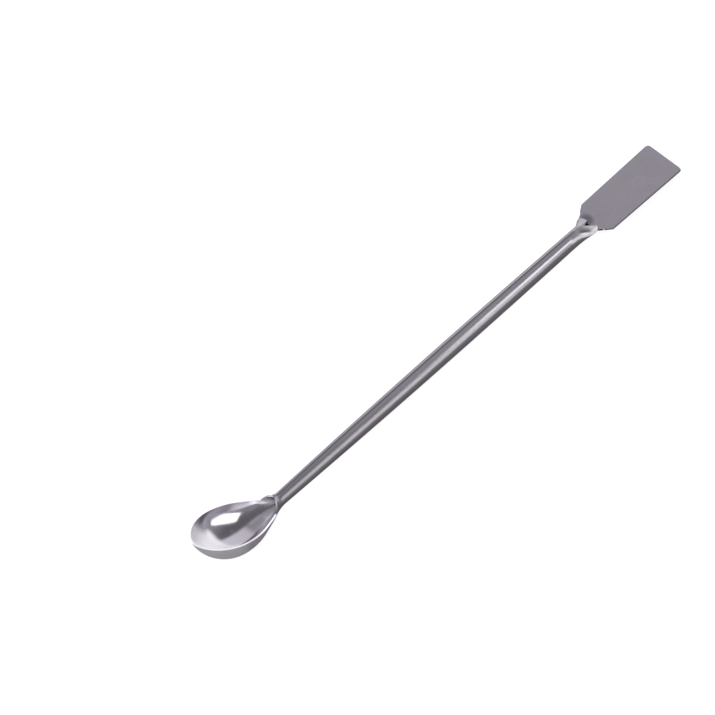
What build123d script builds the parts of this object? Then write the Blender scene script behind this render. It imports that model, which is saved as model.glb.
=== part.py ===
from build123d import *
from math import acos, atan2, cos, degrees, radians, sin, tan
import os

# A double-ended laboratory spatula, stamped and rolled from one stainless steel sheet:
# a deep egg-shaped spoon bowl, a barrel-shaped tube handle with an open butt seam along its
# top, and a flat square blade. Millimetres. It is formed with X along the handle from the
# spoon to the blade, Y to the left and Z up, the tube's axis on the X axis and the tube's
# spoon end at X = 0. At the end it is laid down as it rests, with the origin on the surface
# below the middle of its bounding box.

# Sheet
sheet_thickness = 0.6
seam_gap = 0.16

# Tube handle
tube_length = 129.2
tube_diameter_at_spoon = 4.5
tube_diameter_at_middle = 5.9
tube_diameter_at_blade = 5.2
tube_middle_from_spoon = 77.0

# Spoon bowl, measured in the plane of its rim
rim_tilt = 21.2
bowl_length = 27.4
bowl_width = 22.2
bowl_depth = 9.7
bowl_widest_from_tip = 13.2
cheek_radius = 19.9
throat_narrowing = 30.0

# Neck between the bowl and the tube, and the mouth scooped out of its top
spoon_neck_length = 6.4
spoon_neck_rise = 1.25
spoon_neck_diameter = 6.3
spoon_neck_lift = 0.75
scoop_foot_from_tube = 5.0
scoop_top_from_tube = 1.6

# Neck between the tube and the blade, where the rolled walls flatten and stop as two flaps
blade_neck_length = 8.4
blade_neck_width = 9.2
blade_mouth_height = 2.0
blade_rise = 0.3
mouth_offset = 1.0
mouth_apex_setback = 1.7
left_flap_edge = 0.1
left_flap_reach = 1.0
right_flap_edge = 3.6
right_flap_reach = 2.0

# Blade
blade_length = 29.8
blade_root_width = 17.1
blade_end_width = 18.2
shoulder_length = 4.6
blade_corner_radius = 1.0

# Places worked out from the sizes above
belly_radius = ((bowl_width / 2) ** 2 + bowl_depth**2) / (2 * bowl_depth)
nose_radius = (bowl_widest_from_tip**2 + bowl_depth**2) / (2 * bowl_depth)
axis_height = belly_radius - bowl_depth
narrowing = radians(throat_narrowing)
cheek_length = cheek_radius * sin(narrowing)
cheek_drop = cheek_radius * (1 - cos(narrowing))
cone_length = bowl_length - bowl_widest_from_tip - cheek_length
throat_radius = belly_radius - cheek_drop - cone_length * tan(narrowing)
tilt_cos = cos(radians(rim_tilt))
tilt_sin = sin(radians(rim_tilt))
throat_x = -spoon_neck_length
tip_x = throat_x - bowl_length * tilt_cos
tip_z = spoon_neck_rise + bowl_length * tilt_sin
shoulder_x = tube_length + blade_neck_length
notch_x = shoulder_x - shoulder_length
end_x = shoulder_x + blade_length
blade_bottom = blade_rise - sheet_thickness / 2
blade_top = blade_rise + sheet_thickness / 2
mouth_centre_z = blade_bottom + blade_mouth_height / 2
clear_height = 2 * bowl_width
least_flat = seam_gap / 8

# The rim's plane has its origin at the tip and its X towards the throat; the bowl's section
# lies in a parallel plane through the line that it is turned about
rim_plane = Plane(
    origin=(tip_x, 0, tip_z),
    x_dir=(tilt_cos, 0, -tilt_sin),
    z_dir=(tilt_sin, 0, tilt_cos),
)
turning_plane = rim_plane.offset(axis_height)


def cross_plane(x, z, tilt=0.0):
    """A plane across the handle at x and height z, leaning with the rim by tilt degrees."""
    lean = radians(tilt)
    return Plane(origin=(x, 0, z), x_dir=(0, 1, 0), z_dir=(cos(lean), 0, -sin(lean)))


def tube_points(inset):
    """Three points along half the tube's lengthwise section, this far inside its surface."""
    return (
        (0, tube_diameter_at_spoon / 2 - inset),
        (tube_middle_from_spoon, tube_diameter_at_middle / 2 - inset),
        (tube_length, tube_diameter_at_blade / 2 - inset),
    )


def throat_radius_at(inset):
    """Radius of the throat this far inside the surface of its cone."""
    return throat_radius - inset / cos(narrowing)


def bowl_curve(inset):
    """Half the bowl's lengthwise section from nose to throat, this far inside its surface."""
    widest = (bowl_widest_from_tip, belly_radius - inset)
    nose_arc = degrees(acos((nose_radius - belly_radius) / (nose_radius - inset)))
    throat = (bowl_length, throat_radius_at(inset))
    nose = JernArc(widest, (-1, 0), nose_radius - inset, nose_arc)
    cheek = JernArc(widest, (1, 0), cheek_radius - inset, -throat_narrowing)
    Line(cheek @ 1, throat)
    return nose @ 1, throat


def spoon_neck_form(inset):
    """Round sections from the throat of the bowl to the tube."""
    throat_centre = turning_plane.from_local_coords((bowl_length, 0, 0))
    with BuildPart() as form:
        with BuildSketch(cross_plane(throat_centre.X, throat_centre.Z, rim_tilt)):
            Circle(throat_radius_at(inset))
        with BuildSketch(cross_plane(throat_x / 2, spoon_neck_lift, rim_tilt / 2)):
            Circle(spoon_neck_diameter / 2 - inset)
        with BuildSketch(Plane.YZ):
            Circle(tube_diameter_at_spoon / 2 - inset)
        loft()
    return form.part


def blade_neck_form(inset):
    """Sections from the round tube to the flattened mouth that stands over the blade's root."""
    middle_x = (tube_length + notch_x) / 2
    middle_width = (tube_diameter_at_blade + blade_neck_width) / 2
    middle_height = (tube_diameter_at_blade + blade_mouth_height) / 2
    lip_x = notch_x + right_flap_reach
    sections = (
        (tube_length, 0, tube_diameter_at_blade + least_flat, tube_diameter_at_blade),
        (middle_x, mouth_centre_z / 2, middle_width, middle_height),
        (notch_x, mouth_centre_z, blade_neck_width, blade_mouth_height),
        (lip_x, mouth_centre_z, blade_neck_width, blade_mouth_height),
    )
    with BuildPart() as form:
        for x, z, width, height in sections:
            with BuildSketch(cross_plane(x, z)):
                SlotOverall(width - 2 * inset, height - 2 * inset)
        loft(ruled=True)
    return form.part


outer_spoon_neck = spoon_neck_form(0)
inner_spoon_neck = spoon_neck_form(sheet_thickness)
outer_blade_neck = blade_neck_form(0)
inner_blade_neck = blade_neck_form(sheet_thickness)

# The bowl: its wall turned half round about a line above the rim, then cut off at the rim
with BuildPart() as bowl:
    with BuildSketch(turning_plane):
        with BuildLine():
            outer_nose, outer_throat = bowl_curve(0)
            inner_nose, inner_throat = bowl_curve(sheet_thickness)
            Line(outer_nose, inner_nose)
            Line(outer_throat, inner_throat)
        make_face()
    revolve(axis=Axis(turning_plane.origin, -turning_plane.x_dir), revolution_arc=180)
    split(bisect_by=rim_plane, keep=Keep.BOTTOM)

# The barrel-shaped tube, turned about the handle's axis
with BuildPart() as tube:
    with BuildSketch(Plane.XZ):
        with BuildLine():
            outer = tube_points(0)
            inner = tube_points(sheet_thickness)
            ThreePointArc(*outer)
            ThreePointArc(*inner)
            Line(outer[0], inner[0])
            Line(outer[-1], inner[-1])
        make_face()
    revolve(axis=Axis.X)

# The tube with both necks, opened along its top
with BuildPart() as handle:
    add(tube.part)
    add(outer_spoon_neck - inner_spoon_neck)
    add(outer_blade_neck - inner_blade_neck)

    # The mouth behind the bowl: level with the rim, then rising to the top of the tube
    rim_slope = tan(radians(rim_tilt))
    foot_x = -scoop_foot_from_tube
    foot_z = spoon_neck_rise - (foot_x - throat_x) * rim_slope
    top_x = -scoop_top_from_tube
    top_z = tube_diameter_at_spoon / 2 + sheet_thickness
    back_x = throat_x - bowl_width
    with BuildSketch(Plane.XZ):
        with BuildLine():
            Polyline(
                (back_x, spoon_neck_rise + bowl_width * rim_slope),
                (foot_x, foot_z),
                (top_x, top_z),
                (top_x, clear_height),
                (back_x, clear_height),
                close=True,
            )
        make_face()
    extrude(amount=bowl_width, both=True, mode=Mode.SUBTRACT)

    # The open seam, and the mouth at the blade seen from above: the seam leads over to one
    # side, the left wall is folded further across, and the right one reaches further out
    with BuildSketch(Plane.XY.offset(blade_top)):
        with BuildLine():
            half_gap = seam_gap / 2
            apex_x = notch_x - mouth_apex_setback
            left_end_x = notch_x + left_flap_reach
            right_end_x = notch_x + right_flap_reach
            right_fold_x = notch_x + right_flap_reach / 2
            Polyline(
                (foot_x, half_gap),
                (tube_length, half_gap),
                (apex_x, half_gap - mouth_offset),
                (left_end_x, left_flap_edge),
                (left_end_x, blade_neck_width / 4),
                (notch_x, blade_neck_width / 2),
                (notch_x, blade_root_width),
                (end_x, blade_root_width),
                (end_x, -blade_root_width),
                (right_fold_x, -blade_root_width),
                (right_fold_x, -blade_neck_width / 2),
                (right_end_x, -right_flap_edge),
                (notch_x, -(mouth_offset + right_flap_edge) / 2),
                (apex_x, -half_gap - mouth_offset),
                (tube_length, -half_gap),
                (foot_x, -half_gap),
                close=True,
            )
        make_face()
    extrude(amount=clear_height, mode=Mode.SUBTRACT)

# The flat blade with its chamfered shoulders; its root lies in the mouth as the floor
with BuildPart() as blade:
    with BuildSketch(Plane.XY.offset(blade_bottom)):
        with BuildLine():
            half_neck = blade_neck_width / 2
            root_x = notch_x - sheet_thickness
            half_root = half_neck - sheet_thickness
            Polyline(
                (root_x, half_root),
                (notch_x, half_neck),
                (shoulder_x, blade_root_width / 2),
                (end_x, blade_end_width / 2),
                (end_x, -blade_end_width / 2),
                (shoulder_x, -blade_root_width / 2),
                (notch_x, -half_neck),
                (root_x, -half_root),
                close=True,
            )
        blade_outline = make_face()
        fillet(blade_outline.vertices().group_by(Axis.X)[-1], blade_corner_radius)
    extrude(amount=sheet_thickness)

with BuildPart() as formed:
    add(handle.part)
    add(blade.part)
    add(bowl.part)

# Laid down: the belly of the bowl and the barrel of the tube touch the surface
belly = bowl.part.bounding_box()
belly_drop = -belly.min.Z - tube_diameter_at_middle / 2
rest_lean = degrees(atan2(belly_drop, tube_middle_from_spoon - belly.center().X))
leaned = formed.part.rotate(Axis.Y, rest_lean)
box = leaned.bounding_box()
ground = (box.center().X, box.center().Y, box.min.Z)

with BuildPart() as spatula:
    add(leaned.translate((-ground[0], -ground[1], -ground[2])))

os.makedirs("parts", exist_ok=True)
spatula.part.label = "spatula"
export_step(spatula.part, "parts/spatula.step")
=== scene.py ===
from math import acos, cos, pi, radians, sin, sqrt, tan

import bmesh
import bpy
from bpy.props import FloatProperty, FloatVectorProperty, PointerProperty
from mathutils import Matrix, Vector


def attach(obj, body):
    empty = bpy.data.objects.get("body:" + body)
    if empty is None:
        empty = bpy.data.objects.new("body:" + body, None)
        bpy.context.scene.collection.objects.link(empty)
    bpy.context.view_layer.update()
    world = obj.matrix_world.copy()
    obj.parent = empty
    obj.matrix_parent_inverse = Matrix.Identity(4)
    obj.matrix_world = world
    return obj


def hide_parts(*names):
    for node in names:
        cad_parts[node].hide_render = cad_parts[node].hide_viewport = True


bl_info = {
    "name": "Laboratory spatula",
    "version": (1, 0, 0),
    "blender": (4, 5, 0),
    "location": "3D View > Sidebar > Spatula",
    "description": "A sheet steel spatula with a spoon, a rolled tube handle and a flat blade",
    "category": "Add Mesh",
}

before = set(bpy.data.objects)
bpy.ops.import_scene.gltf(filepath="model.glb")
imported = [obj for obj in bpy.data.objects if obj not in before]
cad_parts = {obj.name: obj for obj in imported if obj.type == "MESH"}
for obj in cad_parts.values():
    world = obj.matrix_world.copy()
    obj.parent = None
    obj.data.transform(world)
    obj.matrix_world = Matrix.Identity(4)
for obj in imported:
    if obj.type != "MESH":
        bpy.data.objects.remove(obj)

# Rows of the sheet along the spatula, in the order in which they follow each other
BOWL_ROWS = 64
SPOON_NECK_ROWS = 26
TUBE_ROWS = 70
MOUTH_ROWS = 26
SHOULDER_ROWS = 14
BLADE_ROWS = 26
SHEET_ROWS = (
    BOWL_ROWS + SPOON_NECK_ROWS + TUBE_ROWS + MOUTH_ROWS + SHOULDER_ROWS + BLADE_ROWS
)
MOUTH_ROW = BOWL_ROWS + SPOON_NECK_ROWS + TUBE_ROWS + MOUTH_ROWS
# Columns across the sheet, from its right edge to its left edge
SHEET_COLUMNS = 96
# Part of the way from the middle to an edge where the sheet folds at the blade
FOLD = 0.5
# How far the bowl's rows crowd towards its tip: 1 is evenly spaced
TIP_CROWDING = 1.8
# Slopes of the spoon's neck, as parts of its length
THROAT_SLOPE = -0.62
NECK_FLOOR_SLOPE = 0.1
TUBE_SLOPE = 0.01
# Halvings of the turn in the search for the sheet's edge at the spoon's mouth
HALVINGS = 30
SAME_PLACE = 1e-7
SAME_PART = 1e-6
# Bevel of the sheet's edges
EDGE_STEPS = 2
SHARP_ANGLE = 50.0

# Places on the spatula as it lies, in metres, where one finish passes to another
POLISH_END = -0.0752
SATIN_START = -0.0690
WEAR_FULL = -0.068
WEAR_END = 0.045
# The tip is scoured rougher, and its near-white colour there is a painted highlight
SCOURED_AND_HIGHLIT_START = -0.0885
SCOURED_AND_HIGHLIT_FULL = -0.0930
TIP_SLANT = 0.3
# A direction that the inside of the bowl's tip faces and its outside turns away from
INTO_BOWL = (0.5, 0.0, 0.866)
# Painted shade along the seam: its edge and core beside the middle line, its lowest height and its end
SEAM_SHADE_EDGE = 0.0009
SEAM_SHADE_CORE = 0.0002
SEAM_SHADE_BOTTOM = 0.0045
SEAM_SHADE_END = 0.0605
# Painted shadow on the blade beside the left flap: its middle, edge and core, its shortness and its
# greatest height
FLAP_SHADOW_PLACE = (0.0667, 0.0019, 0.0031)
FLAP_SHADOW_EDGE = 0.0044
FLAP_SHADOW_CORE = 0.0014
FLAP_SHADOW_SHORTNESS = 1.5
FLAP_SHADOW_TOP = 0.0034

# Grain, mottling and clouding of the steel
GRAIN_SCALE = 3400.0
GRAIN_STRETCH = (0.12, 1.0, 1.0)
GRAIN_ROUGHNESS = 0.1
GRAIN_BUMP = 0.05
GRAIN_HEIGHT = 0.00004
MOTTLE_SCALE = 150.0
MOTTLE_SHADE = 0.05
CLOUD_SCALE = 240.0
CLEARER_POLISH = 0.02
DULLER_POLISH = 0.03
BLACK = (0.0, 0.0, 0.0)
WHITE = (1.0, 1.0, 1.0)

# Levels of the room's light, each as stops of place and level
FRONT_BY_HEIGHT = ((0.0, 0.3), (0.5, 0.34), (0.65, 0.3), (0.88, 0.15), (1.0, 0.15))
FRONT_TO_RIGHT = ((0.0, 1.0), (0.5, 1.0), (0.88, 1.0), (0.95, 5.5), (1.0, 5.5))
BACK_TO_RIGHT = ((0.0, 0.9), (0.35, 0.7), (0.43, 0.26), (0.52, 0.68), (1.0, 0.85))
BACK_BY_HEIGHT = ((0.0, 0.8), (0.5, 1.9), (0.76, 2.1), (0.82, 1.0), (1.0, 1.0))
ROOM_TINT = (1.0, 0.985, 1.02)
# Where the front of the room passes to the back, from front to back
FRONT_END = -0.12
BACK_START = 0.06

# The lights aim at the bowl or at the handle, and most lie along it
BOWL = (-0.086, 0.0, 0.008)
ALONG_HANDLE = (1.0, 0.0, 0.0)
STRIP_SPREAD = 50.0
FLOOR_CORNERS = 96

# The camera, at the angle of the photograph
CAMERA_PLACE = Vector((-0.25943, -1.08904, 1.15833))
CAMERA_RIGHT = Vector((0.73607, -0.55800, -0.38319))
CAMERA_UP = Vector((0.66016, 0.46663, 0.58860))


def length(name, description, default):
    """A size in metres."""
    return FloatProperty(
        name=name, description=description, default=default, min=0.0, unit="LENGTH", precision=5
    )


def angle(name, description, degrees_default):
    """An angle, given in degrees."""
    return FloatProperty(
        name=name, description=description, default=radians(degrees_default), subtype="ANGLE"
    )


def colour(name, description, default):
    """A colour of the surface, in linear values."""
    return FloatVectorProperty(
        name=name, description=description, default=default, min=0.0, max=1.0, subtype="COLOR"
    )


def share(name, description, default):
    """A plain number from 0 to 1."""
    return FloatProperty(
        name=name, description=description, default=default, min=0.0, max=1.0, subtype="FACTOR"
    )


class SheetSizes(bpy.types.PropertyGroup):
    """Sizes of the formed sheet, on its outer side unless they say otherwise."""

    sheet: length("Sheet", "Thickness of the steel", 0.0006)
    seam_gap: length("Seam", "Width of the open seam along the tube", 0.00016)
    edge_radius: length("Edge radius", "Rounding of the sheet's edges", 0.00009)

    tube_length: length("Tube length", "Length of the round tube", 0.1292)
    tube_at_spoon: length("Tube at spoon", "Diameter at the spoon", 0.0045)
    tube_at_middle: length("Tube at middle", "Largest diameter", 0.0059)
    tube_at_blade: length("Tube at blade", "Diameter at the blade", 0.0052)
    tube_middle: length("Tube middle", "Place of the largest diameter", 0.077)

    rim_tilt: angle("Rim tilt", "Slope of the spoon's rim", 21.2)
    bowl_length: length("Bowl length", "Length along the rim", 0.0274)
    bowl_width: length("Bowl width", "Largest width at the rim", 0.0222)
    bowl_depth: length("Bowl depth", "Depth below the rim", 0.0097)
    bowl_widest: length("Bowl widest", "Distance of the widest place from the tip", 0.0132)
    cheek_radius: length("Cheek radius", "Curve of the sides towards the neck", 0.0199)
    narrowing: angle("Narrowing", "Half angle of the cone at the throat", 30.0)

    spoon_neck: length("Spoon neck", "Length of the neck at the spoon", 0.0064)
    spoon_neck_rise: length("Neck rise", "Height of the rim at the throat", 0.00125)
    scoop_foot: length("Scoop foot", "Start of the mouth's rise, from the tube", 0.005)
    scoop_top: length("Scoop top", "End of the mouth's rise, from the tube", 0.0016)

    blade_neck: length("Blade neck", "Length of the neck at the blade", 0.0084)
    neck_width: length("Neck width", "Width of the flattened mouth", 0.0092)
    mouth_height: length("Mouth height", "Height of the flattened mouth", 0.002)
    flattening: length("Flattening", "End of the tube whose right side flattens already", 0.0045)
    round_stretch: length("Round stretch", "Part of the neck whose left side is round", 0.0008)
    mouth_offset: length("Mouth offset", "Distance of the seam's end from the middle", 0.001)
    mouth_setback: length("Mouth setback", "Distance of the seam's end from the folds", 0.0017)
    left_flap_edge: length("Left flap edge", "Distance of the left flap from the middle", 0.0001)
    left_flap_reach: length("Left flap reach", "Length of the left flap past its fold", 0.001)
    right_flap_edge: length("Right flap edge", "Distance of the right flap's tip", 0.0036)
    right_flap_reach: length("Right flap reach", "Length of the right flap past its fold", 0.002)
    left_ridge: length("Left ridge", "Distance from the middle where the left flap slopes", 0.0005)
    left_slope: angle("Left slope", "Slope of the left flap towards its fold", 14.0)
    right_ridge: length("Right ridge", "Distance from the middle where the right flap slopes", 0.0026)
    right_slope: angle("Right slope", "Slope of the right flap towards its fold", 38.0)

    blade_length: length("Blade length", "Length from the shoulders to the end", 0.0298)
    blade_root: length("Blade root", "Width at the shoulders", 0.0171)
    blade_end: length("Blade end", "Width at the end", 0.0182)
    shoulder: length("Shoulder", "Length of the chamfered shoulders", 0.0046)
    left_corner: length("Left corner", "Radius of the left corner of the end", 0.0014)
    right_corner: length("Right corner", "Radius of the right corner of the end", 0.001)

    rest_lean: angle("Rest lean", "Turn of the handle as the spatula lies", 0.6285356)
    middle_x: length("Middle", "Middle of the whole length, from the tube's spoon end", 0.06776674)
    axis_rise: length("Axis rise", "Height of the tube's axis at its spoon end", 0.0040263)


class SteelFinish(bpy.types.PropertyGroup):
    """Colours and gloss of the steel."""

    satin_steel: colour("Satin steel", "Colour of the handle and the blade", (0.33, 0.315, 0.338))
    satin_light: colour("Light grain", "Colour of its lighter grain", (0.347, 0.331, 0.354))
    polished: colour("Polished steel", "Colour of the polished bowl", (0.68, 0.66, 0.7))
    satin: share("Satin", "Roughness of the blade and the handle's end beside it", 0.27)
    worn: share("Worn", "Roughness of the handle's end beside the spoon", 0.42)
    polish: share("Polish", "Roughness of the polished bowl", 0.15)
    scoured: share("Scoured", "Roughness of the bowl's tip, scoured by use", 0.62)
    # Near-white colour of the tip: a painted highlight on the scoured steel
    scoured_tip_highlight: colour("Scoured tip highlight", "Colour of the bowl's tip", (0.98, 0.98, 0.98))
    scoured_and_highlit_outside: share("Scoured outside", "Part of that finish on the tip's outside", 0.5)
    # Painted shadow on the blade beside the left flap
    painted_flap_shadow: share("Painted flap shadow", "Darkening of the blade beside the left flap", 0.5)
    # Painted shade along the seam
    seam_painted_shade: share("Seam shade", "Darkening of the metal along the seam", 0.35)


class StageSettings(bpy.types.PropertyGroup):
    """Floor and light."""

    floor: colour("Floor", "Colour of the floor", (0.3, 0.3, 0.3))
    floor_glow: share("Floor glow", "White that the camera sees added to the floor", 0.88)
    floor_in_metal: share("Floor in metal", "Share of that white that the metal shows", 0.1)
    floor_radius: length("Floor radius", "Half the size of the floor", 1.6)
    key_power: FloatProperty(
        name="Key light", description="Power of the soft box at the spoon", default=0.43, unit="POWER"
    )
    strip_power: FloatProperty(
        name="Strip light", description="Power of the strip along the handle", default=0.0068, unit="POWER"
    )
    top_power: FloatProperty(
        name="Top light", description="Power of the strip above the handle", default=0.0018, unit="POWER"
    )
    left_power: FloatProperty(
        name="Left light", description="Power of the light above the left", default=1.0, unit="POWER"
    )
    lens: FloatProperty(
        name="Lens", description="Focal length for a 36 mm sensor", default=252.455, unit="CAMERA"
    )


def mix(a, b, part):
    """The value a part of the way from a to b."""
    return a + (b - a) * part


def ease(part):
    """A part from 0 to 1 that starts and ends softly."""
    part = min(max(part, 0.0), 1.0)
    return part * part * (3 - 2 * part)


def curve_between(start, start_slope, end, end_slope, part):
    """A value that leaves start and reaches end with these slopes."""
    square = part**2
    cube = part**3
    return (
        start * (2 * cube - 3 * square + 1)
        + start_slope * (cube - 2 * square + part)
        + end * (3 * square - 2 * cube)
        + end_slope * (cube - square)
    )


def along_corners(corners, part):
    """The point this part of the way along a line with corners."""
    runs = [(b - a).length for a, b in zip(corners, corners[1:])]
    left = part * sum(runs)
    for start, end, run in zip(corners, corners[1:], runs):
        if left <= run or end is corners[-1]:
            return start.lerp(end, min(left / run, 1.0))
        left -= run
    return corners[-1].copy()


class SheetForm:
    """Places the points of the sheet's outer side. X runs along the handle from the spoon to
    the blade, Y to the left and Z up, with the tube's spoon end at the origin."""

    def __init__(self, size):
        self.size = size
        half = size.bowl_width / 2
        self.belly = (half**2 + size.bowl_depth**2) / (2 * size.bowl_depth)
        self.nose = (size.bowl_widest**2 + size.bowl_depth**2) / (2 * size.bowl_depth)
        self.axis = self.belly - size.bowl_depth
        self.cheek_length = size.cheek_radius * sin(size.narrowing)
        self.throat_x = -size.spoon_neck
        self.tip_x = self.throat_x - size.bowl_length * cos(size.rim_tilt)
        self.tip_z = size.spoon_neck_rise + size.bowl_length * sin(size.rim_tilt)
        self.mouth_start = size.tube_length - size.flattening
        self.shoulder_x = size.tube_length + size.blade_neck
        self.notch_x = self.shoulder_x - size.shoulder
        self.end_x = self.shoulder_x + size.blade_length
        self.mouth_z = size.mouth_height / 2
        self.flap_corners = {1: self.left_flap(), -1: self.right_flap()}

    def bowl_radius(self, from_tip):
        """Radius of the turned bowl at this distance from its tip."""
        size = self.size
        past = from_tip - size.bowl_widest
        if past <= 0:
            return self.belly - self.nose + sqrt(max(self.nose**2 - past**2, 0.0))
        if past <= self.cheek_length:
            return self.belly - size.cheek_radius + sqrt(size.cheek_radius**2 - past**2)
        drop = size.cheek_radius * (1 - cos(size.narrowing))
        return self.belly - drop - (past - self.cheek_length) * tan(size.narrowing)

    def tube_radius(self, x):
        """Radius of the barrel-shaped tube at x: a parabola through its three sizes."""
        size = self.size
        middle, end = size.tube_middle, size.tube_length
        first = (x - middle) * (x - end) / (middle * end)
        second = x * (x - end) / (middle * (middle - end))
        third = x * (x - middle) / (end * (end - middle))
        sizes = (size.tube_at_spoon, size.tube_at_middle, size.tube_at_blade)
        return sum(a * b for a, b in zip((first, second, third), sizes)) / 2

    def round_point(self, x, z, tilt, radius, turn):
        """A point of a round section round x, z, turned to the left from its bottom."""
        up = -radius * cos(turn)
        return Vector((x + up * sin(tilt), radius * sin(turn), z + up * cos(tilt)))

    def bowl_point(self, part, across):
        """A point of the bowl, this part of the way from its tip to its throat."""
        size = self.size
        from_tip = size.bowl_length * part**TIP_CROWDING
        tilt = size.rim_tilt
        radius = self.bowl_radius(from_tip)
        x = self.tip_x + from_tip * cos(tilt) + self.axis * sin(tilt)
        z = self.tip_z - from_tip * sin(tilt) + self.axis * cos(tilt)
        turn = acos(min(self.axis / radius, 1.0))
        return self.round_point(x, z, tilt, radius, turn * across)

    def scoop_height(self, x):
        """Height of the sheet's edge at the spoon's mouth."""
        size = self.size
        slope = tan(size.rim_tilt)
        foot_x = -size.scoop_foot
        top_x = -size.scoop_top
        foot_z = size.spoon_neck_rise - (foot_x - self.throat_x) * slope
        top_z = size.tube_at_spoon / 2 + size.sheet
        if x < foot_x:
            return size.spoon_neck_rise - (x - self.throat_x) * slope
        return foot_z + (top_z - foot_z) * (x - foot_x) / (top_x - foot_x)

    def spoon_neck_point(self, part, across):
        """A point of the neck between the bowl and the tube, below its scooped mouth."""
        size = self.size
        tilt = size.rim_tilt * (1 - ease(part))
        throat = self.bowl_radius(size.bowl_length)
        bottom_x = self.throat_x - (throat - self.axis) * sin(size.rim_tilt)
        bottom_z = size.spoon_neck_rise - (throat - self.axis) * cos(size.rim_tilt)
        tube = size.tube_at_spoon / 2
        run = -bottom_x
        radius = curve_between(throat, THROAT_SLOPE * run, tube, TUBE_SLOPE * run, part)
        low_x = bottom_x * (1 - part)
        low_z = curve_between(bottom_z, NECK_FLOOR_SLOPE * run, -tube, -TUBE_SLOPE * run, part)
        x = low_x + radius * sin(tilt)
        z = low_z + radius * cos(tilt)
        closed = pi - size.seam_gap / 2 / radius
        low_turn = 0.0
        high_turn = closed
        point = self.round_point(x, z, tilt, radius, closed)
        if point.z > self.scoop_height(point.x):
            for _ in range(HALVINGS):
                turn = (low_turn + high_turn) / 2
                point = self.round_point(x, z, tilt, radius, turn)
                if point.z > self.scoop_height(point.x):
                    high_turn = turn
                else:
                    low_turn = turn
        return self.round_point(x, z, tilt, radius, high_turn * across)

    def flatness(self, x, side, girth=1.0):
        """How far the tube is flattened at x, from 0 to 1. The right side starts earlier, and
        the two sides meet at the bottom, where the girth is 0."""
        starts = (self.size.tube_length + self.size.round_stretch, self.mouth_start)
        left, right = (ease((x - start) / (self.notch_x - start)) for start in starts)
        return mix((left + right) / 2, left if side > 0 else right, ease(2 * girth))

    def flat_section(self, x, side, girth=1.0):
        """Width, height and middle height of the flattening tube at x."""
        size = self.size
        part = self.flatness(x, side, girth)
        tube = 2 * self.tube_radius(min(x, size.tube_length))
        width = mix(tube, size.neck_width, part)
        height = mix(tube, size.mouth_height, part)
        return width, height, mix(0.0, self.mouth_z, part)

    def flat_point(self, x, girth, side):
        """A point of the flattened tube. Girth is 0 at its bottom and 1 at its top."""
        width, height, z = self.flat_section(x, side, girth)
        flat = (width - height) / 2
        bend = pi * height / 2
        way = girth * (2 * flat + bend)
        if way < flat:
            return Vector((x, side * way, z - height / 2))
        if way < flat + bend:
            turn = 2 * (way - flat) / height
            point = Vector((x, side * (flat + height / 2 * sin(turn)), z - height / 2 * cos(turn)))
        else:
            point = Vector((x, side * (2 * flat + bend - way), z + height / 2))
        part = ((point.z - z) / height + 0.5) * self.flatness(x, side, girth)
        return self.sloped(point, side, part)

    def sloped(self, point, side, part):
        """Lowers a point of the flattened tube towards its fold: all of it at the top."""
        size = self.size
        left = side > 0
        ridge = size.left_ridge if left else size.right_ridge
        slope = size.left_slope if left else size.right_slope
        drop = (abs(point.y) - ridge) * tan(slope) * part
        return point - Vector((0.0, 0.0, drop))

    def girth_at(self, x, y, side):
        """How far round the flattened tube a point of its top lies."""
        width, height, _ = self.flat_section(x, side)
        half_girth = width - height + pi * height / 2
        return (half_girth - side * y) / half_girth

    def left_flap(self):
        """Corners of the left flap's end, as place along the handle and way round."""
        size = self.size
        apex_x = self.notch_x - size.mouth_setback
        end_x = self.notch_x + size.left_flap_reach
        corners = (
            (apex_x, size.seam_gap / 2 - size.mouth_offset),
            (end_x, size.left_flap_edge),
            (end_x, size.neck_width / 4),
        )
        return self.flap_ways(corners, 1, self.notch_x)

    def right_flap(self):
        """Corners of the right flap's end, as place along the handle and way round."""
        size = self.size
        apex_x = self.notch_x - size.mouth_setback
        end_x = self.notch_x + size.right_flap_reach
        corners = (
            (apex_x, -size.seam_gap / 2 - size.mouth_offset),
            (self.notch_x, -(size.mouth_offset + size.right_flap_edge) / 2),
            (end_x, -size.right_flap_edge),
        )
        return self.flap_ways(corners, -1, self.notch_x + size.right_flap_reach / 2)

    def flap_ways(self, corners, side, fold_x):
        """The corners with their way round in metres, and last the place of the fold."""
        reach = self.size.neck_width
        ways = [Vector((x, reach * self.girth_at(x, y, side))) for x, y in corners]
        return ways + [Vector((fold_x, reach * FOLD))]

    def mouth_end(self, across):
        """Place along the handle and way round where this column meets the mouth."""
        side = 1 if across > 0 else -1
        folds = [self.flap_corners[s][-1].x for s in (-1, 1)]
        if abs(across) <= FOLD:
            return mix(folds[0], folds[1], across + FOLD), abs(across)
        part = (1 - abs(across)) / (1 - FOLD)
        place = along_corners(self.flap_corners[side], part)
        return place.x, place.y / self.size.neck_width

    def mouth_point(self, part, across):
        """A point of the tube's end that flattens towards the blade and stops as two flaps."""
        side = 1 if across > 0 else -1
        end_x, end_girth = self.mouth_end(across)
        radius = self.tube_radius(self.mouth_start)
        closed = 1 - self.size.seam_gap / 2 / (pi * radius)
        start_girth = abs(across) * closed
        x = mix(self.mouth_start, end_x, part)
        return self.flat_point(x, mix(start_girth, end_girth, part), side)

    def tube_point(self, part, across):
        """A point of the round tube, open along its top by the seam."""
        x = self.mouth_start * part
        radius = self.tube_radius(x)
        closed = pi - self.size.seam_gap / 2 / radius
        return self.round_point(x, 0.0, 0.0, radius, closed * across)

    def shoulder_point(self, part, across):
        """The root of the blade: the folds' lower halves open out to the shoulders."""
        size = self.size
        start = self.mouth_point(1.0, across)
        half = size.blade_root / 2
        y = half * sin(pi / 2 * across / FOLD)
        x = mix(start.x, self.shoulder_x, part)
        return Vector((x, mix(start.y, y, part), mix(start.z, 0.0, ease(2 * part))))

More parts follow.
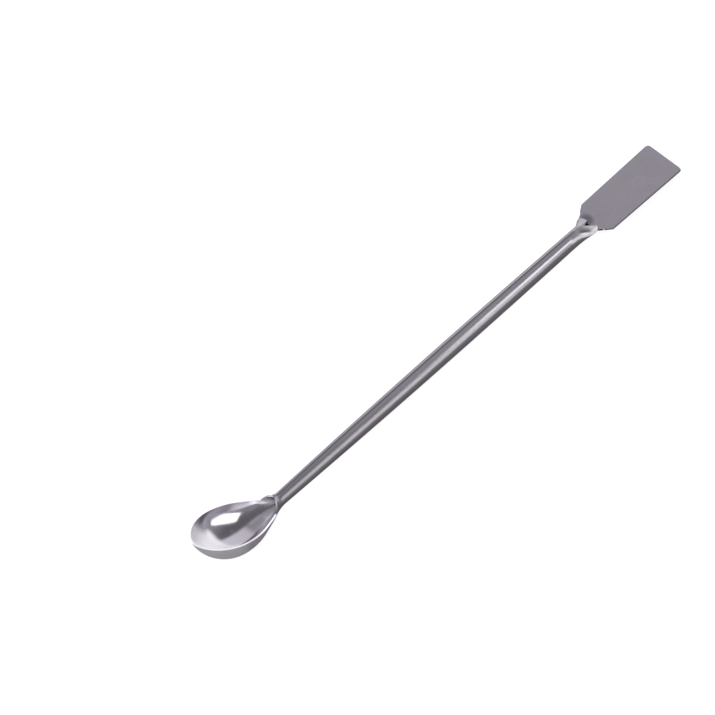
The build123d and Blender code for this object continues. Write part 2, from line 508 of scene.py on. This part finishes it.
    def blade_point(self, part, across):
        """A point of the flat blade, between its shoulders and its rounded end."""
        size = self.size
        spread = sin(pi / 2 * across / FOLD)
        corner = size.left_corner if across > 0 else size.right_corner
        half = size.blade_end / 2
        past = max(abs(spread) * half - (half - corner), 0.0)
        end_x = self.end_x - corner + sqrt(max(corner**2 - past**2, 0.0))
        x = mix(self.shoulder_x, end_x, part)
        width_part = (x - self.shoulder_x) / size.blade_length
        return Vector((x, spread * mix(size.blade_root, size.blade_end, width_part) / 2, 0.0))

    def point(self, row, across):
        """The point of a row of the sheet, across it from -1 at the right to 1 at the left."""
        stretches = (
            (BOWL_ROWS, self.bowl_point),
            (SPOON_NECK_ROWS, self.spoon_neck_point),
            (TUBE_ROWS, self.tube_point),
            (MOUTH_ROWS, self.mouth_point),
            (SHOULDER_ROWS, self.shoulder_point),
            (BLADE_ROWS, self.blade_point),
        )
        for rows, place in stretches:
            if row <= rows:
                return place(row / rows, across)
            row -= rows
        raise RuntimeError("The sheet has no such row")

    def laid_down(self, point):
        """The point as the spatula lies, with the origin below the middle of its box."""
        size = self.size
        turned = Matrix.Rotation(size.rest_lean, 3, "Y") @ point
        return turned - Vector((size.middle_x, 0.0, -size.axis_rise))


def formed_sheet(size):
    """A flat grid bent into the outer side of the whole spatula."""
    form = SheetForm(size)
    mesh = bmesh.new()
    bmesh.ops.create_grid(mesh, x_segments=SHEET_ROWS, y_segments=SHEET_COLUMNS, size=1.0)
    rows = {v: round((v.co.x + 1) / 2 * SHEET_ROWS) for v in mesh.verts}
    columns = {v: round((v.co.y + 1) / 2 * SHEET_COLUMNS) for v in mesh.verts}
    across = {v: column / SHEET_COLUMNS * 2 - 1 for v, column in columns.items()}
    beyond = [
        face
        for face in mesh.faces
        if min(rows[v] for v in face.verts) >= MOUTH_ROW
        and max(abs(across[v]) for v in face.verts) > FOLD + SAME_PART
    ]
    bmesh.ops.delete(mesh, geom=beyond, context="FACES")
    for vertex in mesh.verts:
        vertex.co = form.laid_down(form.point(rows[vertex], across[vertex]))
    bmesh.ops.remove_doubles(mesh, verts=mesh.verts, dist=SAME_PLACE)
    bmesh.ops.recalc_face_normals(mesh, faces=mesh.faces)
    mesh.normal_update()
    lowest = min(mesh.faces, key=lambda face: face.calc_center_median().z)
    if lowest.normal.z > 0:
        bmesh.ops.reverse_faces(mesh, faces=mesh.faces)
    for face in mesh.faces:
        face.smooth = True
    return mesh


def node(tree, kind, place, **settings):
    """A node of a material, with its settings and socket values."""
    made = tree.nodes.new(kind)
    made.location = (place[0] * 220, place[1] * 220)
    for name, value in settings.items():
        if hasattr(made, name):
            setattr(made, name, value)
        else:
            made.inputs[name.replace("_", " ")].default_value = value
    return made


def wire(tree, *pairs):
    """Links outputs of nodes to inputs of nodes."""
    for source, target in pairs:
        tree.links.new(source, target)


def arithmetic(tree, place, operation, *numbers):
    """A Math node whose first socket is linked, followed by these numbers."""
    made = node(tree, "ShaderNodeMath", place, operation=operation)
    for socket, number in zip(made.inputs[1:], numbers):
        socket.default_value = number
    return made


def passage(tree, place, start, end, low=0.0, high=1.0, kind="SMOOTHSTEP"):
    """A value that goes from low at start to high at end."""
    made = node(tree, "ShaderNodeMapRange", place, interpolation_type=kind)
    made.inputs["From Min"].default_value = start
    made.inputs["From Max"].default_value = end
    made.inputs["To Min"].default_value = low
    made.inputs["To Max"].default_value = high
    return made


def blend(tree, place, *colours):
    """A mix of two colours, where they aren't linked."""
    made = node(tree, "ShaderNodeMix", place, data_type="RGBA")
    for name, value in zip("AB", colours):
        made.inputs[name].default_value = (*value, 1.0)
    return made


def product(tree, place):
    """Two colours multiplied."""
    made = node(tree, "ShaderNodeMix", place, data_type="RGBA", blend_type="MULTIPLY")
    made.inputs["Factor"].default_value = 1.0
    return made


def drawn_grain(tree, place):
    """Fine grain, drawn out along the spatula."""
    drawn = node(tree, "ShaderNodeMapping", (-7, 0))
    drawn.inputs["Scale"].default_value = GRAIN_STRETCH
    grain = node(
        tree, "ShaderNodeTexNoise", (-6, 0), Scale=GRAIN_SCALE, Detail=3.0, Roughness=0.6
    )
    wire(
        tree,
        (place.outputs["Object"], drawn.inputs["Vector"]),
        (drawn.outputs["Vector"], grain.inputs["Vector"]),
    )
    return grain.outputs["Fac"]


def paint_shade_on_seam(tree, finish, split):
    """Painted shade along the seam, darkening the colour on the top of the tube only."""
    aside = arithmetic(tree, (-7, 5), "ABSOLUTE")
    near_seam = passage(tree, (-6, 5), SEAM_SHADE_EDGE, SEAM_SHADE_CORE)
    above = arithmetic(tree, (-7, 6), "GREATER_THAN", SEAM_SHADE_BOTTOM)
    before_blade = arithmetic(tree, (-7, 7), "LESS_THAN", SEAM_SHADE_END)
    on_tube = arithmetic(tree, (-6, 6), "MULTIPLY")
    seam = arithmetic(tree, (-5, 5), "MULTIPLY")
    shade = arithmetic(tree, (-4, 5), "MULTIPLY", finish.seam_painted_shade)
    wire(
        tree,
        (split.outputs["Y"], aside.inputs[0]),
        (aside.outputs["Value"], near_seam.inputs["Value"]),
        (split.outputs["Z"], above.inputs[0]),
        (split.outputs["X"], before_blade.inputs[0]),
        (above.outputs["Value"], on_tube.inputs[0]),
        (before_blade.outputs["Value"], on_tube.inputs[1]),
        (near_seam.outputs["Result"], seam.inputs[0]),
        (on_tube.outputs["Value"], seam.inputs[1]),
        (seam.outputs["Value"], shade.inputs[0]),
    )
    return shade.outputs["Value"]


def paint_shadow_by_flap(tree, finish, place, split):
    """Painted shadow on the blade round the end of the left flap."""
    x, y, z = FLAP_SHADOW_PLACE
    shortened = node(tree, "ShaderNodeMapping", (-7, 3))
    shortened.inputs["Scale"].default_value = (FLAP_SHADOW_SHORTNESS, 1.0, 1.0)
    from_flap = node(tree, "ShaderNodeVectorMath", (-6, 3), operation="DISTANCE")
    from_flap.inputs[1].default_value = (FLAP_SHADOW_SHORTNESS * x, y, z)
    near_flap = passage(tree, (-5, 3), FLAP_SHADOW_EDGE, FLAP_SHADOW_CORE)
    on_blade = arithmetic(tree, (-6, 4), "LESS_THAN", FLAP_SHADOW_TOP)
    flap_shade = arithmetic(tree, (-4, 4), "MULTIPLY")
    shade = arithmetic(tree, (-4, 3), "MULTIPLY", finish.painted_flap_shadow)
    wire(
        tree,
        (place.outputs["Object"], shortened.inputs["Vector"]),
        (shortened.outputs["Vector"], from_flap.inputs[0]),
        (from_flap.outputs["Value"], near_flap.inputs["Value"]),
        (split.outputs["Z"], on_blade.inputs[0]),
        (near_flap.outputs["Result"], flap_shade.inputs[0]),
        (on_blade.outputs["Value"], flap_shade.inputs[1]),
        (flap_shade.outputs["Value"], shade.inputs[0]),
    )
    return shade.outputs["Value"]


def mottling(tree, place):
    """Faint darker patches of the satin steel."""
    blotch = node(tree, "ShaderNodeTexNoise", (-5, 2), Scale=MOTTLE_SCALE, Detail=2.0)
    mottle = passage(tree, (-4, 2), 0.35, 0.65, MOTTLE_SHADE, 0.0, "LINEAR")
    wire(
        tree,
        (place.outputs["Object"], blotch.inputs["Vector"]),
        (blotch.outputs["Fac"], mottle.inputs["Value"]),
    )
    return mottle.outputs["Result"]


def scoured_and_highlit_part(tree, finish, place, split):
    """How far the bowl's tip is scoured: in full on its inside, and less on its outside. The scouring
    makes it rougher, and its near-white colour is a painted highlight.
    """
    slanted = arithmetic(tree, (-7, 9), "MULTIPLY_ADD", TIP_SLANT)
    at_tip = passage(tree, (-6, 9), SCOURED_AND_HIGHLIT_START, SCOURED_AND_HIGHLIT_FULL)
    facing = node(tree, "ShaderNodeVectorMath", (-7, 10), operation="DOT_PRODUCT")
    facing.inputs[1].default_value = INTO_BOWL
    inside = arithmetic(tree, (-6, 10), "GREATER_THAN", 0.0)
    on_side = arithmetic(tree, (-5, 10), "MAXIMUM", finish.scoured_and_highlit_outside)
    part = arithmetic(tree, (-4, 9), "MULTIPLY")
    wire(
        tree,
        (split.outputs["Y"], slanted.inputs[0]),
        (split.outputs["X"], slanted.inputs[2]),
        (slanted.outputs["Value"], at_tip.inputs["Value"]),
        (place.outputs["Normal"], facing.inputs[0]),
        (facing.outputs["Value"], inside.inputs[0]),
        (inside.outputs["Value"], on_side.inputs[0]),
        (at_tip.outputs["Result"], part.inputs[0]),
        (on_side.outputs["Value"], part.inputs[1]),
    )
    return part.outputs["Value"]


def steel_tone(tree, finish, place, split, grain, scoured, satin):
    """Colour of the steel: grained satin with faint mottling and painted shade along the seam and beside
    the left flap, and the bowl's polish with a painted highlight at its tip.
    """
    grained = blend(tree, (-3, 4), finish.satin_steel, finish.satin_light)
    # Painted shade: the darker of the seam's and the flap's
    shade = arithmetic(tree, (-3, 5), "MAXIMUM")
    mottle_and_painted_shade = arithmetic(tree, (-2, 5), "MAXIMUM")
    mottled_and_shaded_satin = blend(tree, (-2, 4), finish.satin_steel, BLACK)
    # The tip's near-white colour is a painted highlight
    tip_tone = blend(tree, (-2, 6), finish.polished, finish.scoured_tip_highlight)
    tone = blend(tree, (-1, 4))
    wire(
        tree,
        (grain, grained.inputs["Factor"]),
        (paint_shade_on_seam(tree, finish, split), shade.inputs[0]),
        (paint_shadow_by_flap(tree, finish, place, split), shade.inputs[1]),
        (mottling(tree, place), mottle_and_painted_shade.inputs[0]),
        (shade.outputs["Value"], mottle_and_painted_shade.inputs[1]),
        (mottle_and_painted_shade.outputs["Value"], mottled_and_shaded_satin.inputs["Factor"]),
        (grained.outputs["Result"], mottled_and_shaded_satin.inputs["A"]),
        (scoured, tip_tone.inputs["Factor"]),
        (tip_tone.outputs["Result"], tone.inputs["A"]),
        (mottled_and_shaded_satin.outputs["Result"], tone.inputs["B"]),
        (satin, tone.inputs["Factor"]),
    )
    return tone.outputs["Result"]


def steel_roughness(tree, finish, place, split, grain, scoured, satin):
    """Roughness of the steel: worn at the spoon's end of the handle, polished in the bowl."""
    wear = passage(tree, (-3, 1), WEAR_FULL, WEAR_END, finish.worn, finish.satin, "LINEAR")
    grain_part = arithmetic(
        tree, (-3, 0), "MULTIPLY_ADD", GRAIN_ROUGHNESS, -GRAIN_ROUGHNESS / 2
    )
    grained = arithmetic(tree, (-2, 0), "ADD")
    cloud = node(tree, "ShaderNodeTexNoise", (-4, -1), Scale=CLOUD_SCALE, Detail=2.0)
    clear = finish.polish - CLEARER_POLISH
    dull = finish.polish + DULLER_POLISH
    clouded = passage(tree, (-3, -1), 0.3, 0.7, clear, dull, "LINEAR")
    at_tip = node(tree, "ShaderNodeMix", (-2, -1), data_type="FLOAT")
    at_tip.inputs["B"].default_value = finish.scoured
    rough = node(tree, "ShaderNodeMix", (-1, 1), data_type="FLOAT")
    wire(
        tree,
        (split.outputs["X"], wear.inputs["Value"]),
        (grain, grain_part.inputs[0]),
        (wear.outputs["Result"], grained.inputs[0]),
        (grain_part.outputs["Value"], grained.inputs[1]),
        (place.outputs["Object"], cloud.inputs["Vector"]),
        (cloud.outputs["Fac"], clouded.inputs["Value"]),
        (scoured, at_tip.inputs["Factor"]),
        (clouded.outputs["Result"], at_tip.inputs["A"]),
        (at_tip.outputs["Result"], rough.inputs["A"]),
        (grained.outputs["Value"], rough.inputs["B"]),
        (satin, rough.inputs["Factor"]),
    )
    return rough.outputs["Result"]


def steel_material(finish):
    """Satin steel with a fine drawn grain, that turns to polished steel in the bowl."""
    material = bpy.data.materials.new("sheet_steel")
    material.use_nodes = True
    tree = material.node_tree
    shader = tree.nodes["Principled BSDF"]
    shader.inputs["Metallic"].default_value = 1.0
    place = node(tree, "ShaderNodeTexCoord", (-9, 0))
    split = node(tree, "ShaderNodeSeparateXYZ", (-8, 2))
    on_handle = passage(tree, (-7, 1), POLISH_END, SATIN_START)
    satin = on_handle.outputs["Result"]
    grain = drawn_grain(tree, place)
    scoured = scoured_and_highlit_part(tree, finish, place, split)
    # The tone holds painted shade along the seam and beside the left flap, and a painted highlight at the
    # bowl's tip
    tone = steel_tone(tree, finish, place, split, grain, scoured, satin)
    rough = steel_roughness(tree, finish, place, split, grain, scoured, satin)
    bump_depth = arithmetic(tree, (-2, -2), "MULTIPLY", GRAIN_BUMP)
    bump = node(tree, "ShaderNodeBump", (-1, -2), Distance=GRAIN_HEIGHT)
    wire(
        tree,
        (place.outputs["Object"], split.inputs["Vector"]),
        (split.outputs["X"], on_handle.inputs["Value"]),
        (tone, shader.inputs["Base Color"]),
        (rough, shader.inputs["Roughness"]),
        (satin, bump_depth.inputs[0]),
        (bump_depth.outputs["Value"], bump.inputs["Strength"]),
        (grain, bump.inputs["Height"]),
        (bump.outputs["Normal"], shader.inputs["Normal"]),
    )
    return material


def floor_material(stage):
    """A plain pale floor, that the camera sees white and that keeps the shadow."""
    material = bpy.data.materials.new("pale_floor")
    material.use_nodes = True
    tree = material.node_tree
    shader = tree.nodes["Principled BSDF"]
    shader.inputs["Base Color"].default_value = (*stage.floor, 1.0)
    shader.inputs["Roughness"].default_value = 0.9
    shader.inputs["Specular IOR Level"].default_value = 0.0
    shader.inputs["Emission Color"].default_value = (*WHITE, 1.0)
    path = node(tree, "ShaderNodeLightPath", (-4, 0))
    in_metal = arithmetic(tree, (-3, 1), "MULTIPLY", stage.floor_in_metal)
    seen = arithmetic(tree, (-3, 0), "MAXIMUM")
    both = arithmetic(tree, (-2, 0), "MAXIMUM")
    glow = arithmetic(tree, (-1, 0), "MULTIPLY", stage.floor_glow)
    wire(
        tree,
        (path.outputs["Is Camera Ray"], seen.inputs[0]),
        (path.outputs["Is Transmission Ray"], seen.inputs[1]),
        (path.outputs["Is Glossy Ray"], in_metal.inputs[0]),
        (seen.outputs["Value"], both.inputs[0]),
        (in_metal.outputs["Value"], both.inputs[1]),
        (both.outputs["Value"], glow.inputs[0]),
        (glow.outputs["Value"], shader.inputs["Emission Strength"]),
    )
    return material


def light_ramp(tree, place, stops):
    """A ramp of the room's light through these stops."""
    made = node(tree, "ShaderNodeValToRGB", place)
    points = made.color_ramp.elements
    while len(points) < len(stops):
        points.new(0.5)
    for point, (position, level) in zip(points, stops):
        point.position = position
        point.color = (*(level * part for part in ROOM_TINT), 1.0)
    return made


def studio_world():
    """Soft room light: dark above the front, and growing brighter to the right at the back."""
    world = bpy.data.worlds.new("soft_room")
    bpy.context.scene.world = world
    world.use_nodes = True
    tree = world.node_tree
    shader = tree.nodes["Background"]
    path = node(tree, "ShaderNodeLightPath", (-2, 2))
    place = node(tree, "ShaderNodeTexCoord", (-7, 0))
    split = node(tree, "ShaderNodeSeparateXYZ", (-6, 0))
    height = passage(tree, (-5, 1), -1.0, 1.0, kind="LINEAR")
    across = passage(tree, (-5, -1), -1.0, 1.0, kind="LINEAR")
    to_back = passage(tree, (-5, 0), FRONT_END, BACK_START)
    front = light_ramp(tree, (-4, 3), FRONT_BY_HEIGHT)
    right = light_ramp(tree, (-4, 1), FRONT_TO_RIGHT)
    back = light_ramp(tree, (-4, -1), BACK_TO_RIGHT)
    low = light_ramp(tree, (-4, -3), BACK_BY_HEIGHT)
    ahead = product(tree, (-3, 1))
    behind = product(tree, (-3, -1))
    room = blend(tree, (-2, 0))
    seen = blend(tree, (-1, 0), BLACK, WHITE)
    wire(
        tree,
        (place.outputs["Generated"], split.inputs["Vector"]),
        (split.outputs["Z"], height.inputs["Value"]),
        (split.outputs["Y"], to_back.inputs["Value"]),
        (split.outputs["X"], across.inputs["Value"]),
        (height.outputs["Result"], front.inputs["Fac"]),
        (across.outputs["Result"], right.inputs["Fac"]),
        (across.outputs["Result"], back.inputs["Fac"]),
        (height.outputs["Result"], low.inputs["Fac"]),
        (front.outputs["Color"], ahead.inputs["A"]),
        (right.outputs["Color"], ahead.inputs["B"]),
        (back.outputs["Color"], behind.inputs["A"]),
        (low.outputs["Color"], behind.inputs["B"]),
        (to_back.outputs["Result"], room.inputs["Factor"]),
        (ahead.outputs["Result"], room.inputs["A"]),
        (behind.outputs["Result"], room.inputs["B"]),
        (path.outputs["Is Camera Ray"], seen.inputs["Factor"]),
        (room.outputs["Result"], seen.inputs["A"]),
        (seen.outputs["Result"], shader.inputs["Color"]),
    )


def soft_light(name, place, aim, along, width, depth, power, spread=180.0):
    """A soft box of light at a place, turned to what it lights, its width along a line."""
    data = bpy.data.lights.new(name, "AREA")
    data.shape = "RECTANGLE"
    data.size = width
    data.size_y = depth
    data.energy = power
    data.spread = radians(spread)
    light = bpy.data.objects.new(name, data)
    bpy.context.scene.collection.objects.link(light)
    back = (Vector(place) - Vector(aim)).normalized()
    side = (Vector(along) - Vector(along).dot(back) * back).normalized()
    turn = Matrix((side, back.cross(side), back)).transposed().to_4x4()
    light.matrix_world = Matrix.Translation(place) @ turn
    return light


def studio_lights(stage):
    """A soft box on the bowl, a large one above the left, and two strips over the handle."""
    soft_light(
        "key",
        place=(-0.04, -0.31, 0.148),
        aim=BOWL,
        along=(-0.66, 0.39, 0.64),
        width=0.385,
        depth=0.19,
        power=stage.key_power,
    )
    soft_light(
        "left",
        place=(-0.5, 0.08, 0.36),
        aim=BOWL,
        along=(0.0, 1.0, 0.0),
        width=0.7,
        depth=0.32,
        power=stage.left_power,
    )
    soft_light(
        "strip",
        place=(0.074, -0.1173, 0.12115),
        aim=(0.04, 0.0, 0.003),
        along=ALONG_HANDLE,
        width=0.075,
        depth=0.1,
        power=stage.strip_power,
        spread=STRIP_SPREAD,
    )
    soft_light(
        "top",
        place=(0.026, -0.026, 0.1278),
        aim=(0.03, 0.0, 0.003),
        along=ALONG_HANDLE,
        width=0.14,
        depth=0.075,
        power=stage.top_power,
        spread=STRIP_SPREAD,
    )


def add_camera(stage):
    """The camera, at the angle of the photograph."""
    data = bpy.data.cameras.new("camera")
    data.sensor_width = 36.0
    data.lens = stage.lens
    data.clip_start = 0.05
    data.clip_end = 20.0
    camera = bpy.data.objects.new("camera", data)
    bpy.context.scene.collection.objects.link(camera)
    back = CAMERA_RIGHT.cross(CAMERA_UP)
    turn = Matrix((CAMERA_RIGHT, CAMERA_UP, back)).transposed().to_4x4()
    camera.matrix_world = Matrix.Translation(CAMERA_PLACE) @ turn
    bpy.context.scene.camera = camera


class SPATULA_OT_sheet(bpy.types.Operator):
    """Form the steel sheet into the spoon, the tube handle and the blade"""

    bl_idname = "spatula.sheet"
    bl_label = "Formed sheet"

    def execute(self, context):
        size = context.scene.spatula_sizes
        mesh = formed_sheet(size)
        data = bpy.data.meshes.new("formed_sheet")
        mesh.to_mesh(data)
        mesh.free()
        piece = bpy.data.objects.new("formed_sheet", data)
        context.scene.collection.objects.link(piece)
        wall = piece.modifiers.new("wall", "SOLIDIFY")
        wall.thickness = size.sheet
        wall.offset = -1.0
        wall.use_even_offset = True
        wall.use_quality_normals = True
        edges = piece.modifiers.new("edges", "BEVEL")
        edges.width = size.edge_radius
        edges.segments = EDGE_STEPS
        edges.limit_method = "ANGLE"
        edges.angle_limit = radians(SHARP_ANGLE)
        edges.harden_normals = True
        data.materials.append(steel_material(context.scene.spatula_finish))
        if len(data.polygons) == 0:
            raise RuntimeError("The sheet has no faces")
        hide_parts("spatula")
        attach(piece, "root")
        return {"FINISHED"}


class SPATULA_OT_stage(bpy.types.Operator):
    """Add the pale floor, the soft light and the camera"""

    bl_idname = "spatula.stage"
    bl_label = "Stage"

    def execute(self, context):
        stage = context.scene.spatula_stage
        mesh = bmesh.new()
        bmesh.ops.create_circle(
            mesh, cap_ends=True, segments=FLOOR_CORNERS, radius=stage.floor_radius
        )
        data = bpy.data.meshes.new("floor")
        mesh.to_mesh(data)
        mesh.free()
        floor = bpy.data.objects.new("floor", data)
        context.scene.collection.objects.link(floor)
        data.materials.append(floor_material(stage))
        studio_world()
        studio_lights(stage)
        add_camera(stage)
        context.scene.view_settings.view_transform = "Standard"
        return {"FINISHED"}


class SPATULA_PT_panel(bpy.types.Panel):
    """The spatula's pieces, in the sidebar"""

    bl_idname = "SPATULA_PT_panel"
    bl_label = "Laboratory spatula"
    bl_space_type = "VIEW_3D"
    bl_region_type = "UI"
    bl_category = "Spatula"

    def draw(self, context):
        """Buttons for the pieces, and their sizes, finish and light."""
        for operator in PIECES:
            self.layout.operator(operator.bl_idname)
        for group in ("spatula_sizes", "spatula_finish", "spatula_stage"):
            settings = getattr(context.scene, group)
            for name in type(settings).__annotations__:
                self.layout.prop(settings, name)


PIECES = (SPATULA_OT_sheet, SPATULA_OT_stage)
GROUPS = (
    ("spatula_sizes", SheetSizes),
    ("spatula_finish", SteelFinish),
    ("spatula_stage", StageSettings),
)


def register():
    """Adds the groups of values, the operators and the panel."""
    for name, group in GROUPS:
        bpy.utils.register_class(group)
        setattr(bpy.types.Scene, name, PointerProperty(type=group))
    for operator in PIECES:
        bpy.utils.register_class(operator)
    bpy.utils.register_class(SPATULA_PT_panel)


def unregister():
    """Takes them away again, in the reverse order."""
    bpy.utils.unregister_class(SPATULA_PT_panel)
    for operator in reversed(PIECES):
        bpy.utils.unregister_class(operator)
    for name, group in reversed(GROUPS):
        delattr(bpy.types.Scene, name)
        bpy.utils.unregister_class(group)


def main():
    """Makes the pieces and the stage."""
    register()
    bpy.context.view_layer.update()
    bpy.ops.spatula.sheet()
    bpy.ops.spatula.stage()
    bpy.context.view_layer.update()


if __name__ == "__main__":
    main()
